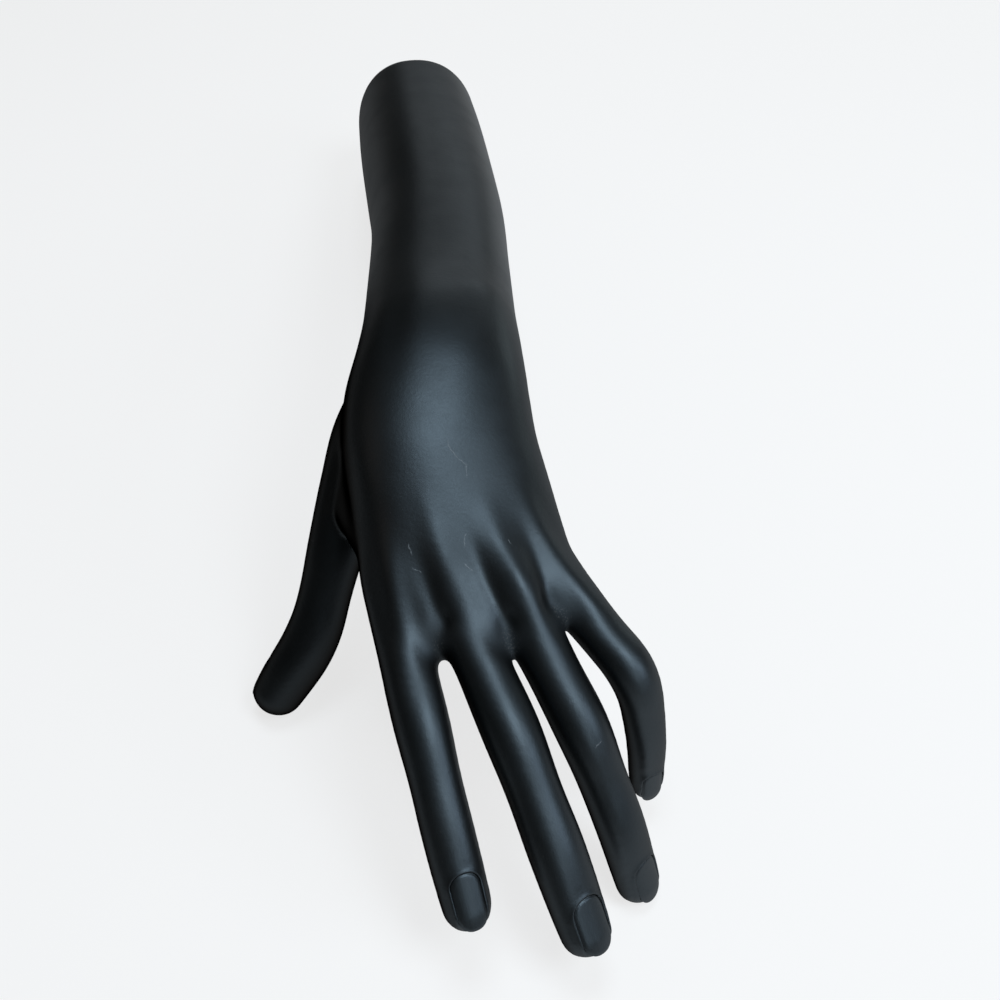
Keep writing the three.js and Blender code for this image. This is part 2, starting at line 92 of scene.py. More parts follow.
# %% A socket that can be calculated with
class Socket:
    def __init__(self, tree, out):
        self.tree = tree
        self.out = out

    def node(self, kind, settings=None, inputs=None, out=0):
        made = self.tree.nodes.new(kind)
        for key, value in (settings or {}).items():
            setattr(made, key, value)
        for key, value in (inputs or {}).items():
            if isinstance(value, Socket):
                self.tree.links.new(value.out, made.inputs[key])
            else:
                made.inputs[key].default_value = value
        return Socket(self.tree, made.outputs[out])

    def maths(self, operation, *values):
        return self.node("ShaderNodeMath", {"operation": operation}, dict(enumerate(values)))

    def vector(self, operation, *values, out=0):
        settings = {"operation": operation}
        return self.node("ShaderNodeVectorMath", settings, dict(enumerate(values)), out)

    def __add__(self, other):
        return self.maths("ADD", self, other)

    def __radd__(self, other):
        return self.maths("ADD", other, self)

    def __sub__(self, other):
        return self.maths("SUBTRACT", self, other)

    def __rsub__(self, other):
        return self.maths("SUBTRACT", other, self)

    def __mul__(self, other):
        return self.maths("MULTIPLY", self, other)

    def __rmul__(self, other):
        return self.maths("MULTIPLY", other, self)

    def larger(self, other):
        return self.maths("MAXIMUM", self, other)

    def positive(self):
        return self.maths("ABSOLUTE", self)

    def smooth(self, low, high):
        inputs = {"Value": self, "From Min": low, "From Max": high}
        settings = {"interpolation_type": "SMOOTHSTEP", "clamp": True}
        return self.node("ShaderNodeMapRange", settings, inputs)

    def distance_to(self, point):
        return self.vector("DISTANCE", self, tuple(point), out="Value")

    def along(self, direction):
        return self.vector("DOT_PRODUCT", self, tuple(direction), out="Value")

    def bump(self, height, strength, distance):
        inputs = {"Height": height, "Strength": strength, "Distance": distance}
        return self.node("ShaderNodeBump", None, inputs)

    def noise(self, scale, detail=2.0, roughness=0.5):
        inputs = {"Vector": self, "Scale": scale, "Detail": detail, "Roughness": roughness}
        return self.node("ShaderNodeTexNoise", None, inputs)

    def mix_colours(self, first, second):
        first, second = (c if isinstance(c, Socket) else (*c, 1) for c in (first, second))
        factor_in, first_in, second_in, colour_out = 0, 6, 7, 2
        inputs = {factor_in: self, first_in: first, second_in: second}
        return self.node("ShaderNodeMix", {"data_type": "RGBA"}, inputs, colour_out)


def new_material(name, settings):
    """A Principled material with its plain values set. Gives it, the place socket and the shader."""
    material = bpy.data.materials.new(name)
    material.use_nodes = True
    tree = material.node_tree
    shader = tree.nodes["Principled BSDF"]
    for key, value in settings.items():
        shader.inputs[key].default_value = value
    here = Socket(tree, tree.nodes.new("ShaderNodeTexCoord").outputs["Object"])
    return material, here, shader


def feed(shader, name, socket):
    socket.tree.links.new(socket.out, shader.inputs[name])

# %% [markdown]
# ## Skeleton of the hand
# Each limb is a path with rounded corners, and a short list of section sizes along it. Between the
# listed sections the size follows a smooth curve. The forearm and palm are one limb, and each digit is
# one limb whose root lies inside the palm.

# %% Bones and section sizes
WRIST = np.array((-18.4, 243, 86.0))
FOREARM_LENGTH = 254
WRIST_STRETCH = 100
FOREARM_BONES = [(FOREARM_LENGTH - WRIST_STRETCH, 7.4, -10.5), (WRIST_STRETCH, 3, -10.5)]
PALM_BONES = [(28, -1.5, 11), (48, 14, 14), (24, 16, 22)]
WRIST_REACH = 20
JOINT_REACH = 9
CORNER_SHARE = 0.48
ARM_SQUARENESS = 2.25
DIGIT_SQUARENESS = 2.1

# Bones are a length, a turn and a drop in degrees. Sections are a distance from the wrist or knuckle,
# the half width, the height of the back side and the depth of the palm side.
ARM_SIZES = [
    (-FOREARM_LENGTH, 29, 33, 34), (-200, 28.8, 31, 33), (-140, 27.2, 28, 31), (-80, 25.3, 23.5, 26),
    (-40, 24.9, 20, 21), (-15, 24.9, 19, 19), (0, 25.8, 18.5, 18), (20, 28, 18, 18),
    (40, 28.4, 16.5, 18), (60, 28.6, 14, 16), (76, 28.8, 11.5, 14), (92, 26.4, 5, 10),
    (100, 24.6, 2.5, 7),
]

# knuckle from the wrist, length of the root inside the palm, bones, roll, sections
DIGITS = {
    "index": ((-12.3, -72, -16), 34, [(44, 15.5, 19), (27, 17, 29), (23, 19.3, 35)], -5, [
        (-34, 7, 4.5, 6), (0, 8.1, 9.1, 8), (12, 7.9, 8.3, 7.8), (26, 7.6, 7.3, 7.2), (42, 7.4, 7.2, 6.8),
        (56, 6.8, 6.2, 6.4), (70, 6.8, 6, 6), (83, 6.6, 5.3, 5.6), (95, 6.1, 4.5, 4.8)]),
    "middle": ((2.3, -74, -12.5), 34, [(48, 26.4, 23), (31, 25.3, 33), (26, 26, 38)], -17, [
        (-34, 7, 4.5, 6), (0, 8.8, 9.5, 8), (13, 8.3, 8, 8), (28, 7.5, 7, 7.4), (46, 7.8, 7.4, 7),
        (62, 7.3, 6.6, 6.8), (77, 7.7, 6.6, 6.4), (91, 7.5, 5.6, 6), (105, 6.8, 4.8, 5.2)]),
    "ring": ((20.1, -76, -13.5), 34, [(45, 31.8, 31), (29, 32.4, 48), (23.4, 32.4, 58)], -17, [
        (-34, 7, 4.5, 6), (0, 8.6, 9.3, 8), (12, 8.1, 7.8, 7.8), (26, 7.4, 6.8, 7.2), (43, 7.6, 7.2, 6.8),
        (58, 6.9, 6.3, 6.5), (72, 7, 6.3, 6.2), (84, 7, 5.4, 5.7), (98, 6.5, 4.6, 5)]),
    "little": ((31.7, -69.5, -17.5), 34, [(38, 43, 23), (21.5, 22, 64), (20, 10, 74)], -18, [
        (-34, 6, 4.5, 5.5), (0, 7.8, 8.6, 7.6), (10, 7.4, 7, 7), (22, 7.1, 6, 6.4), (35, 7.1, 6.5, 6),
        (46, 6.3, 5.6, 5.7), (57, 5.7, 5.4, 5.3), (66, 5.4, 4.6, 4.9), (78, 4.7, 3.8, 4)]),
    "thumb": ((-15.6, -3, -9.5), 30, [(51, -19, 26), (32, -22.5, 50), (28.5, -51, 45)], 86, [
        (-30, 4, 4, 4), (-14, 8.6, 8, 8.4), (0, 12, 11, 12), (18, 13.6, 12.6, 13.6), (36, 11.6, 10.6, 12),
        (51, 9.2, 8.6, 9.4), (67, 8.4, 7.6, 8.2), (83, 8.8, 8.2, 8.2), (95, 8.8, 8, 8), (111, 7.6, 6.4, 7)]),
}
FINGERS = ["index", "middle", "ring", "little"]
ROOT_TURN_SHARE = 0.6
ROOT_LIFT = 12

# %% [markdown]
# ## Limbs
# At any distance along it, a limb gives its middle, its directions ahead, to the side and up, and the
# size of its section. A curve object could carry the sections too, but it can twist where its path
# bends. Here the side stays level, and is then rolled by the digit's own angle.

# %% A limb with a frame and a section at any distance
CORNER_STEPS = 13


def direction(turn, drop):
    t, d = math.radians(turn), math.radians(drop)
    return np.array((math.sin(t) * math.cos(d), -math.cos(t) * math.cos(d), -math.sin(d)))


def signed_power(value, exponent):
    return np.sign(value) * np.abs(value) ** exponent


class Limb:
    def __init__(self, corners, reach, sizes, roll, squareness):
        self.sizes = np.array(sizes, float)
        self.roll = math.radians(roll)
        self.squareness = squareness
        self.start = self.sizes[0, 0]
        points, tangents = [corners[0]], [self.unit(corners[1] - corners[0])]
        for before, corner, after in zip(corners, corners[1:], corners[2:]):
            back, ahead = before - corner, after - corner
            near = min(reach, CORNER_SHARE * np.linalg.norm(back), CORNER_SHARE * np.linalg.norm(ahead))
            a, b = corner + near * self.unit(back), corner + near * self.unit(ahead)
            for t in np.linspace(0, 1, CORNER_STEPS):
                points.append((1 - t) ** 2 * a + 2 * t * (1 - t) * corner + t * t * b)
                tangents.append(self.unit((1 - t) * (corner - a) + t * (b - corner)))
        points.append(corners[-1])
        tangents.append(self.unit(corners[-1] - corners[-2]))
        self.points, self.tangents = np.array(points), np.array(tangents)
        steps = np.linalg.norm(np.diff(self.points, axis=0), axis=1)
        self.along = self.start + np.concatenate(([0], np.cumsum(steps)))
        self.end = self.along[-1]

    @staticmethod
    def unit(vector):
        return vector / np.linalg.norm(vector)

    def frame(self, distance):
        """Centre, direction ahead, side and up at one or more distances."""
        d = np.atleast_1d(distance).astype(float)
        centre = np.stack([np.interp(d, self.along, self.points[:, k]) for k in range(3)], 1)
        ahead = np.stack([np.interp(d, self.along, self.tangents[:, k]) for k in range(3)], 1)
        ahead /= np.linalg.norm(ahead, axis=1)[:, None]
        centre += ahead * (d - np.clip(d, self.start, self.end))[:, None]
        level = np.stack([-ahead[:, 1], ahead[:, 0], 0 * d], 1)
        level /= np.linalg.norm(level, axis=1)[:, None]
        side = level * math.cos(self.roll) + np.cross(ahead, level) * math.sin(self.roll)
        return centre, ahead, side, np.cross(ahead, side)

    def size(self, distance):
        """Half width, height and depth at one or more distances, on a smooth curve."""
        d = np.atleast_1d(distance).astype(float)
        s = self.sizes
        i = np.clip(np.searchsorted(s[:, 0], d, "left") - 1, 0, len(s) - 2)
        before, after = np.maximum(i - 1, 0), np.minimum(i + 2, len(s) - 1)
        span = (s[i + 1, 0] - s[i, 0])[:, None]
        t = np.clip((d[:, None] - s[i, :1]) / span, 0, 1)
        m0 = (s[i + 1, 1:] - s[before, 1:]) / (s[i + 1, :1] - s[before, :1]) * span
        m1 = (s[after, 1:] - s[i, 1:]) / (s[after, :1] - s[i, :1]) * span
        return ((2 * t**3 - 3 * t**2 + 1) * s[i, 1:] + (t**3 - 2 * t**2 + t) * m0
                + (3 * t**2 - 2 * t**3) * s[i + 1, 1:] + (t**3 - t**2) * m1)

    def ring(self, distance, size, sides):
        """Points of one section of the given size."""
        centre, _, side, up = (v[0] for v in self.frame(distance))
        angle = 2 * math.pi * (np.arange(sides) + 0.5) / sides
        across = size[0] * signed_power(np.cos(angle), 2 / self.squareness)
        rise = signed_power(np.sin(angle), 2 / self.squareness)
        rise = rise * np.where(np.sin(angle) > 0, size[1], size[2])
        return centre + across[:, None] * side + rise[:, None] * up


def chain(start, bones):
    points = [np.array(start, float)]
    for length, turn, drop in bones:
        points.append(points[-1] + length * direction(turn, drop))
    return points


backwards = chain(WRIST, [(-length, turn, drop) for length, turn, drop in reversed(FOREARM_BONES)])
arm = Limb(backwards[:0:-1] + chain(WRIST, PALM_BONES), WRIST_REACH, ARM_SIZES, 0, ARM_SQUARENESS)
digits = {}
for name, (knuckle, root, bones, roll, sizes) in DIGITS.items():
    joint = WRIST + np.array(knuckle)
    behind = joint - root * direction(bones[0][1] * ROOT_TURN_SHARE, bones[0][2] - ROOT_LIFT)
    digits[name] = Limb([behind] + chain(joint, bones), JOINT_REACH, sizes, roll, DIGIT_SQUARENESS)
print("arm", round(arm.end - arm.start), "mm;", {n: round(d.end) for n, d in digits.items()})

# %% [markdown]
# ## Tubes of rings
# A limb's surface is a tube: a circle is made, bent to the first section, and extruded once for every
# further section. The sections crowd together where the tube closes, so the tips come out round.

# %% Build tubes with circles and extrusion
def loop_edges(bm, loop):
    return [bm.edges.get((a, b)) for a, b in zip(loop, loop[1:] + loop[:1])]


def tube(bm, rings, close_end=True):
    """Extrudes a closed circle through rings of points. Gives the edges of its last ring."""
    loop = bmesh.ops.create_circle(bm, segments=len(rings[0]), radius=1)["verts"]
    loop.sort(key=lambda vert: math.atan2(vert.co.y, vert.co.x))
    edges = loop_edges(bm, loop)
    for vert, point in zip(loop, rings[0]):
        vert.co = point
    bmesh.ops.contextual_create(bm, geom=edges)
    for ring in rings[1:]:
        made = bmesh.ops.extrude_edge_only(bm, edges=edges)["geom"]
        old = set(loop)
        onward = {}
        for vert in (g for g in made if isinstance(g, bmesh.types.BMVert)):
            for edge in vert.link_edges:
                if edge.other_vert(vert) in old:
                    onward[edge.other_vert(vert)] = vert
        loop = [onward[vert] for vert in loop]
        for vert, point in zip(loop, ring):
            vert.co = point
        edges = loop_edges(bm, loop)
    if close_end:
        bmesh.ops.contextual_create(bm, geom=edges)
    return edges


def spaced(start, end, step):
    return np.linspace(start, end, max(2, int(round((end - start) / step)) + 1))


def object_from(bm, name):
    mesh = bpy.data.meshes.new(name)
    bm.to_mesh(mesh)
    bm.free()
    made = bpy.data.objects.new(name, mesh)
    bpy.context.scene.collection.objects.link(made)
    return made


def counts(label, bm):
    print(label, len(bm.verts), "vertices,", sum(len(f.verts) - 2 for f in bm.faces), "triangles")

# %% [markdown]
# ## The hand as overlapping tubes
# The palm and the five digits are separate tubes that pass through each other. The webs between the
# fingers and the ball of the thumb are the tightest convex wraps round short stretches of two digits.
# The relaxing further on fills the webs a little, so they and the palm end that much sooner.
# A tip closes like an ellipse, but later on the nail's side, where a fingertip is fuller.

# %% Digit, palm and web tubes
TIP_ROUND = 6
TIP_ANGLES = np.radians((0, 15, 30, 43, 55, 65, 74, 81, 87))
RING_STEP = 2
DIGIT_SIDES = 32
ARM_SIDES = 96
WRAP_SIDES = 16
CUT = -46
CUT_SPARE = 12
WEB_REACH = {"index": 17, "middle": 17, "ring": 14}
WEB_HALF = (4, 1.2, 5.5)
WEB_FILL = 7
BALL_STRETCHES = {"thumb": (4, 40), "index": (-34, -6)}
BALL_HALF = (8, 8, 8)
NAIL_SIDE_FULLNESS = 3.0
PALM_EDGE_ROUND = 6
PALM_EDGE_ANGLES = np.radians((0, 20, 40, 58, 72, 84))
PALM_FILL = 4


def digit_tube(bm, limb):
    closing = limb.end - TIP_ROUND
    closed = closing + TIP_ROUND * np.sin(TIP_ANGLES)
    distances = np.concatenate((spaced(limb.start, closing, RING_STEP)[:-1], closed))
    rings = []
    for distance, size in zip(distances, limb.size(distances)):
        past = max(0, distance - closing) / TIP_ROUND
        round_share = math.sqrt(1 - past**2)
        full_share = (1 - past**NAIL_SIDE_FULLNESS) ** (1 / NAIL_SIDE_FULLNESS)
        shares = (round_share, full_share, round_share)
        rings.append(limb.ring(distance, size * shares, DIGIT_SIDES))
    tube(bm, rings)


def wrap(bm, stretches, half):
    """Adds the convex hull of small sections of two digits."""
    points = [bm.verts.new(p) for name, ends in stretches.items() for end in ends
              for p in digits[name].ring(end, half, WRAP_SIDES)]
    hull = bmesh.ops.convex_hull(bm, input=points)
    bmesh.ops.delete(bm, geom=hull["geom_interior"], context="VERTS")


hand = bmesh.new()
for limb in digits.values():
    digit_tube(hand, limb)
for name, neighbour in zip(FINGERS, FINGERS[1:]):
    stretch = (0, WEB_REACH[name] - WEB_FILL)
    wrap(hand, {name: stretch, neighbour: stretch}, WEB_HALF)
wrap(hand, BALL_STRETCHES, BALL_HALF)

palm_end = arm.end - PALM_FILL
palm_distances = np.concatenate((
    spaced(CUT - CUT_SPARE, palm_end - PALM_EDGE_ROUND, RING_STEP)[:-1],
    palm_end - PALM_EDGE_ROUND * (1 - np.sin(PALM_EDGE_ANGLES)),
))
rings = []
for distance, size in zip(palm_distances, arm.size(palm_distances)):
    past = max(0, distance - palm_end + PALM_EDGE_ROUND) / PALM_EDGE_ROUND
    share = math.sqrt(1 - past**2)
    palm_size = (size[0] - PALM_EDGE_ROUND * (1 - share), size[1] * share, size[2] * share)
    rings.append(arm.ring(distance, palm_size, ARM_SIDES))
tube(hand, rings)
bmesh.ops.recalc_face_normals(hand, faces=hand.faces)
counts("overlapping tubes:", hand)

# %% [markdown]
# ## One skin
# A voxel remesh turns the overlapping tubes into one closed surface of small, even squares. It is cut
# off square just behind the wrist, where the forearm's own regular tube takes over, because a tube of
# long, straight rows reflects light more evenly than a remeshed one.

# %% Remesh and join the forearm
VOXEL = 0.9
RIM_IN, RIM_ALONG = 12, 17
WALL = 2.4
POCKET_DEPTH = 16
EDGE_ROUND = 0.5
LIP_ANGLES = np.radians((30, 60, 90))
RIM_ANGLES = np.radians((4, 12, 20, 28, 36, 44, 52, 60, 68, 76, 84))
BRIDGE_LENGTH = 1.6
POCKET_STEP = 1.5


def applied(piece, *tools):
    """The piece's mesh with its modifiers applied, as a bmesh. The piece and its tools are removed."""
    graph = bpy.context.evaluated_depsgraph_get()
    mesh = bpy.data.meshes.new_from_object(piece.evaluated_get(graph))
    bm = bmesh.new()
    bm.from_mesh(mesh)
    for used in [mesh, piece.data] + [tool.data for tool in tools]:
        bpy.data.meshes.remove(used)
    return bm


def rim_size(distance, inset=0.0):
    """Size of the forearm near its end, where the rim rounds over."""
    into = np.clip((arm.start + RIM_ALONG - distance) / RIM_ALONG, 0, 1)
    return arm.size(distance)[0] - inset - RIM_IN * (1 - math.sqrt(1 - into**2))


hand_parts = object_from(hand, "hand_parts")
remesh = hand_parts.modifiers.new("remesh", "REMESH")
remesh.mode = "VOXEL"
remesh.voxel_size = VOXEL
skin = applied(hand_parts)
counts("remeshed hand:", skin)
centre, ahead, _, _ = (v[0] for v in arm.frame(CUT))
everything = skin.verts[:] + skin.edges[:] + skin.faces[:]
bmesh.ops.bisect_plane(skin, geom=everything, plane_co=centre, plane_no=ahead, clear_inner=True)
open_edges = [e for e in skin.edges if e.is_boundary]
deep, mouth = arm.start + POCKET_DEPTH, arm.start + EDGE_ROUND
pocket = [arm.ring(d, rim_size(d, WALL), ARM_SIDES) for d in spaced(deep, mouth, POCKET_STEP)]
lip = []
for angle in LIP_ANGLES:
    lip_size = rim_size(mouth, WALL - EDGE_ROUND * (1 - math.cos(angle)))
    lip.append(arm.ring(mouth - EDGE_ROUND * math.sin(angle), lip_size, ARM_SIDES))
rim = [arm.ring(d, rim_size(d), ARM_SIDES) for d in arm.start + RIM_ALONG * (1 - np.cos(RIM_ANGLES))]
straight_distances = spaced(arm.start + RIM_ALONG, CUT - BRIDGE_LENGTH, RING_STEP)
straight = [arm.ring(d, arm.size(d)[0], ARM_SIDES) for d in straight_distances]
forearm_edges = tube(skin, pocket + lip + rim + straight, close_end=False)
bmesh.ops.bridge_loops(skin, edges=open_edges + forearm_edges)
bmesh.ops.recalc_face_normals(skin, faces=skin.faces)
counts("skin:", skin)

# %% [markdown]
# ## Where each point of the skin lies
# Sculpting by numbers needs to know where a point is on the hand. For each limb, every point gets its
# distance along the limb, how far it lies to the side and how high, and from these its height over that
# limb's own surface. A point that is close to two limbs lies in the fold between them.

# %% Places on the limbs
STATION_STEP = 1.5
BLOCKS = 40


def points_of(bm):
    return np.array([vert.co for vert in bm.verts])


def move_points(bm, points):
    for vert, point in zip(bm.verts, points):
        vert.co = point
    bm.normal_update()


def place_on(limb, points):
    """Distance along, side and rise of points, read in the limb's nearest frame."""
    stations = spaced(limb.start, limb.end, STATION_STEP)
    centre, ahead, _, _ = limb.frame(stations)
    blocks = np.array_split(points, BLOCKS)
    nearest = np.concatenate([((b[:, None] - centre[None]) ** 2).sum(2).argmin(1) for b in blocks])
    along = stations[nearest] + ((points - centre[nearest]) * ahead[nearest]).sum(1)
    centre, _, side, up = limb.frame(along)
    return along, ((points - centre) * side).sum(1), ((points - centre) * up).sum(1)


def height_over(limb, place):
    """How far points lie outside the limb's surface."""
    along, across, rise = place
    half, height, depth = limb.size(along).T
    reach = np.hypot(across, rise) + 1e-9
    power = limb.squareness
    share = ((np.abs(across) / reach / half) ** power
             + (np.abs(rise) / reach / np.where(rise > 0, height, depth)) ** power) ** (1 / power)
    return reach - 1 / share + np.maximum(0, np.maximum(limb.start - along, along - limb.end))


def bump(value, width):
    return np.exp(-(value / width) ** 2)


def ease(value, low, high):
    t = np.clip((value - low) / (high - low), 0, 1)
    return t * t * (3 - 2 * t)

# %% [markdown]
# ## Blending the folds
# Where a digit leaves the palm, the remesh leaves a hard crease. Averaging each point with its
# neighbours relaxes it, most in the folds and hardly anywhere else, so the fingers keep their girth.
# Past the webs the folds end, or the relaxing would close the narrow gaps between the fingers. The back
# of the hand is relaxed longer, because the knuckles there swell gently out of the palm.

# %% Relax the folds and the back of the hand
FOLD_WIDTH, FOLD_ROUNDS = 3.6, 46
BACK_WIDTH, BACK_ROUNDS = 7, 260
# how far from the knuckles the fold towards the next finger ends
PARTING = {"middle": 15, "ring": 17}


def relax(bm, weight, times):
    bm.verts.index_update()
    ends = np.array([[v.index for v in edge.verts] for edge in bm.edges])
    points = points_of(bm)
    count = len(points)
    degree = np.bincount(ends.ravel(), minlength=count)[:, None]
    step = (0.5 * weight)[:, None]
    for _ in range(times):
        total = np.stack([np.bincount(ends[:, 0], points[ends[:, 1], k], count)
                          + np.bincount(ends[:, 1], points[ends[:, 0], k], count) for k in range(3)], 1)
        points += step * (total / degree - points)
    move_points(bm, points)


points = points_of(skin)
on_arm = place_on(arm, points)
on_digits = {name: place_on(limb, points) for name, limb in digits.items()}
heights = [height_over(arm, on_arm)] + [height_over(digits[n], on_digits[n]) for n in digits]
over_second_limb = np.maximum(np.sort(heights, axis=0)[1], 0)
fold = bump(over_second_limb, FOLD_WIDTH)
for name, parting in PARTING.items():
    distance, across, _ = on_digits[name]
    fold *= 1 - ease(distance, parting, parting + 7) * ease(across, -1, 1)
along, across, rise = on_arm
hand_side = ease(along, CUT - 6, CUT + 6)
back = bump(over_second_limb, BACK_WIDTH) * ease(rise, 2, 8)
back *= ease(along, 14, 34) * (1 - ease(along, 90, 103))
relax(skin, (0.05 + 0.95 * fold) * hand_side, FOLD_ROUNDS)
relax(skin, back, BACK_ROUNDS)
print("relaxed", len(points), "points")

# %% [markdown]
# ## Tendons, valleys and the hollow of the palm
# Each feature is a soft ridge or valley along a line on the skin, added as a move along the skin's own
# direction. Valleys run back from each web between the knuckles and end in a pocket behind the web, and
# ridges run over the knuckles towards the wrist. Below, the palm is hollow between the ball of the thumb
# and the heel of the hand. The bone at the wrist swells a little on the little finger's side.

# %% Ridges and valleys
# height of each knuckle's ridge, and how far it is shifted along the digit
RIDGES = {"index": (1.3, 12), "middle": (0.6, 0), "ring": (0.8, 0), "little": (1.0, 0)}
RIDGE_LINE = np.linspace(-24, 26, 6)
RIDGE_WIDTH = 3.2
RIDGE_PEAK = 0.55
# each valley's start and its pocket: distance from the knuckles, share of the way to the next digit
VALLEYS = {"index": (-5, 0.55, 20, 0.6), "middle": (-16, 0.5, 19.5, 0.54), "ring": (-13, 0.74, 14, 0.42)}
VALLEY_DEPTH, POCKET_DENT, POCKET_WIDTH = 0.95, 0.8, 3
# side of the hand, height, distance from the wrist and its width, place across and its width
SWELLS = [
    ("palm", -3, 58, 22, 3, 11), ("palm", 1.4, 28, 22, 17, 8),
    ("back", 0.8, -14, 10, 14, 7), ("back", -0.6, -2, 18, -13, 5),
]


def along_line(points, line):
    """Distance from points to a line of corners seen from above, and how far along it they lie, 0 to 1."""
    flat, corners = points[:, :2], np.array(line, float)[:, :2]
    lengths = np.linalg.norm(np.diff(corners, axis=0), axis=1)
    best, share = np.full(len(points), 1e9), np.zeros(len(points))
    for i, (a, b) in enumerate(zip(corners, corners[1:])):
        t = np.clip(((flat - a) @ (b - a)) / lengths[i] ** 2, 0, 1)
        gap = np.linalg.norm(flat - a - t[:, None] * (b - a), axis=1)
        nearer = gap < best
        best = np.where(nearer, gap, best)
        share = np.where(nearer, (lengths[:i].sum() + t * lengths[i]) / lengths.sum(), share)
    return best, share


points = points_of(skin)
facing = np.array([vert.normal for vert in skin.verts])
move = np.zeros(len(points))
upward = ease(facing[:, 2], 0.15, 0.55)
downward = ease(-facing[:, 2], 0.1, 0.5)
for name, (height, shift) in RIDGES.items():
    gap, share = along_line(points, digits[name].frame(RIDGE_LINE + shift)[0])
    fading = ease(share, 0, RIDGE_PEAK) * (1 - ease(share, RIDGE_PEAK, 1))
    move += upward * height * bump(gap, RIDGE_WIDTH) * fading
pocket_points = {}
for name, other in zip(FINGERS, FINGERS[1:]):
    first, first_share, last, last_share = VALLEYS[name]
    stations = np.linspace(first, last, 4)
    start, end = (digits[n].frame(stations)[0] for n in (name, other))
    valley = start + np.linspace(first_share, last_share, 4)[:, None] * (end - start)
    pocket_points[name] = valley[-1]
    gap, share = along_line(points, valley)
    move -= upward * VALLEY_DEPTH * bump(gap, 1.8 + 1.4 * (1 - share)) * ease(share, 0, 0.75)
    from_pocket = np.linalg.norm(points[:, :2] - valley[-1, :2], axis=1)
    move -= upward * POCKET_DENT * bump(from_pocket, POCKET_WIDTH)
for hand_face, height, distance, reach, place, width in SWELLS:
    swell = height * bump(along - distance, reach) * bump(across - place, width)
    move += swell * (upward if hand_face == "back" else downward)
move_points(skin, points + facing * move[:, None])
relax(skin, hand_side * 0.5, 6)
print("skin moved by", round(move.min(), 2), "to", round(move.max(), 2), "mm")

# %% [markdown]
# ## Nail beds
# A nail is a curved plate with straight sides and two rounded ends, which stops just short of the
# fingertip. One outline shapes the plate and its bed, and the top follows the bend of the finger.

# %% Nail shapes
# length and width
NAILS = {
    "index": (13.9, 7.9), "middle": (14.5, 9.4), "ring": (13.5, 8.8), "little": (11, 6.9),
    "thumb": (15, 11.4),
}
NAIL_SETBACK = 0.7
NAIL_THICKNESS = 0.6
NAIL_SINK = 0.28
NAIL_TIP_DROP = 0.7
NAIL_BEND = 0.95
ROUND_SHARE = 0.5
END_SQUARENESS = 2.3
SIDE_TAPER = 0.06


class Nail:
    def __init__(self, name):
        self.name = name
        self.length, self.width = NAILS[name]
        limb = digits[name]
        end = limb.end - NAIL_SETBACK
        self.centre, self.ahead, self.side, self.up = (v[0] for v in limb.frame(end - self.length / 2))
        self.limb = limb
        self.start = end - self.length
        along = self.length / 2 * np.sin(np.linspace(-0.5, 0.5, 73) * math.pi)
        edge = np.stack([self.half_width(along), along], 1)
        self.outline = np.concatenate((edge, (edge * (-1, 1))[-2:0:-1]))

    def local(self, points):
        shifted = points - self.centre
        return np.stack([shifted @ self.side, shifted @ self.ahead, shifted @ self.up], 1)

    def world(self, local):
        return self.centre + local @ np.array([self.side, self.ahead, self.up])

    def half_width(self, y):
        """Half the width at a distance from the middle: straight sides between two rounded ends."""
        share = y / self.length + 0.5
        root = np.clip(1 - (y + self.length / 2) / (ROUND_SHARE * self.width), 0, 1)
        free = np.clip(1 - (self.length / 2 - y) / (ROUND_SHARE * self.width), 0, 1)
        closed = np.maximum(root, free) ** END_SQUARENESS
        return self.width / 2 * (1 - SIDE_TAPER * share) * (1 - closed) ** (1 / END_SQUARENESS)

    def outside(self, local):
        """Distance to the outline, below zero inside it."""
        flat = local[:, :2]
        a, b = self.outline, np.roll(self.outline, -1, axis=0)
        span = b - a
        best = np.full(len(flat), 1e9)
        for start, step in zip(a, span):
            t = np.clip(((flat - start) @ step) / (step @ step), 0, 1)
            best = np.minimum(best, np.linalg.norm(flat - start - t[:, None] * step, axis=1))
        x, y = np.abs(flat[:, 0]), flat[:, 1]
        inside = (np.abs(y) < self.length / 2) & (x < self.half_width(y))
        return np.where(inside, -best, best)

    def top(self, local):
        """Height of the nail's outer face: the skin's own bend, a little lower at both ends."""
        share = local[:, 1] / self.length + 0.5
        half, height, _ = self.limb.size(self.start + local[:, 1] + self.length / 2).T
        across = np.minimum(np.abs(local[:, 0]) / half, 0.9) ** self.limb.squareness
        bent = height * (1 - NAIL_BEND * (1 - (1 - across) ** (1 / self.limb.squareness)))
        return bent - NAIL_SINK * (1 - share) - NAIL_TIP_DROP * ease(share, 0.7, 1.1)


nails = [Nail(name) for name in DIGITS]
print("nails, mm:", {nail.name: (nail.length, nail.width) for nail in nails})

# %% [markdown]
# ## Pressing the beds
# Each nail lies in a shallow bed with a crisp fold round it. The bed could be cut out with a Boolean,
# but that leaves a ragged edge in a skin of small squares. So the skin is cut into smaller squares round
# the outline, eased a little and pressed down inside it, with a low lip round the sides and the root.

# %% Press the beds into the skin
# how far from the outline the skin is cut finer, once and once more
FINER_REACHES = (2.4, 1.0)
BED_GAP = 0.05
BED_REACH = 3.5
LIP_HEIGHT, LIP_GROWTH, LIP_PLACE, LIP_WIDTH = 0.16, 0.14, 0.55, 0.5
GROOVE, GROOVE_GROWTH = 0.03, 0.26
WALL_FOOT, WALL_TOP = -0.05, 0.3


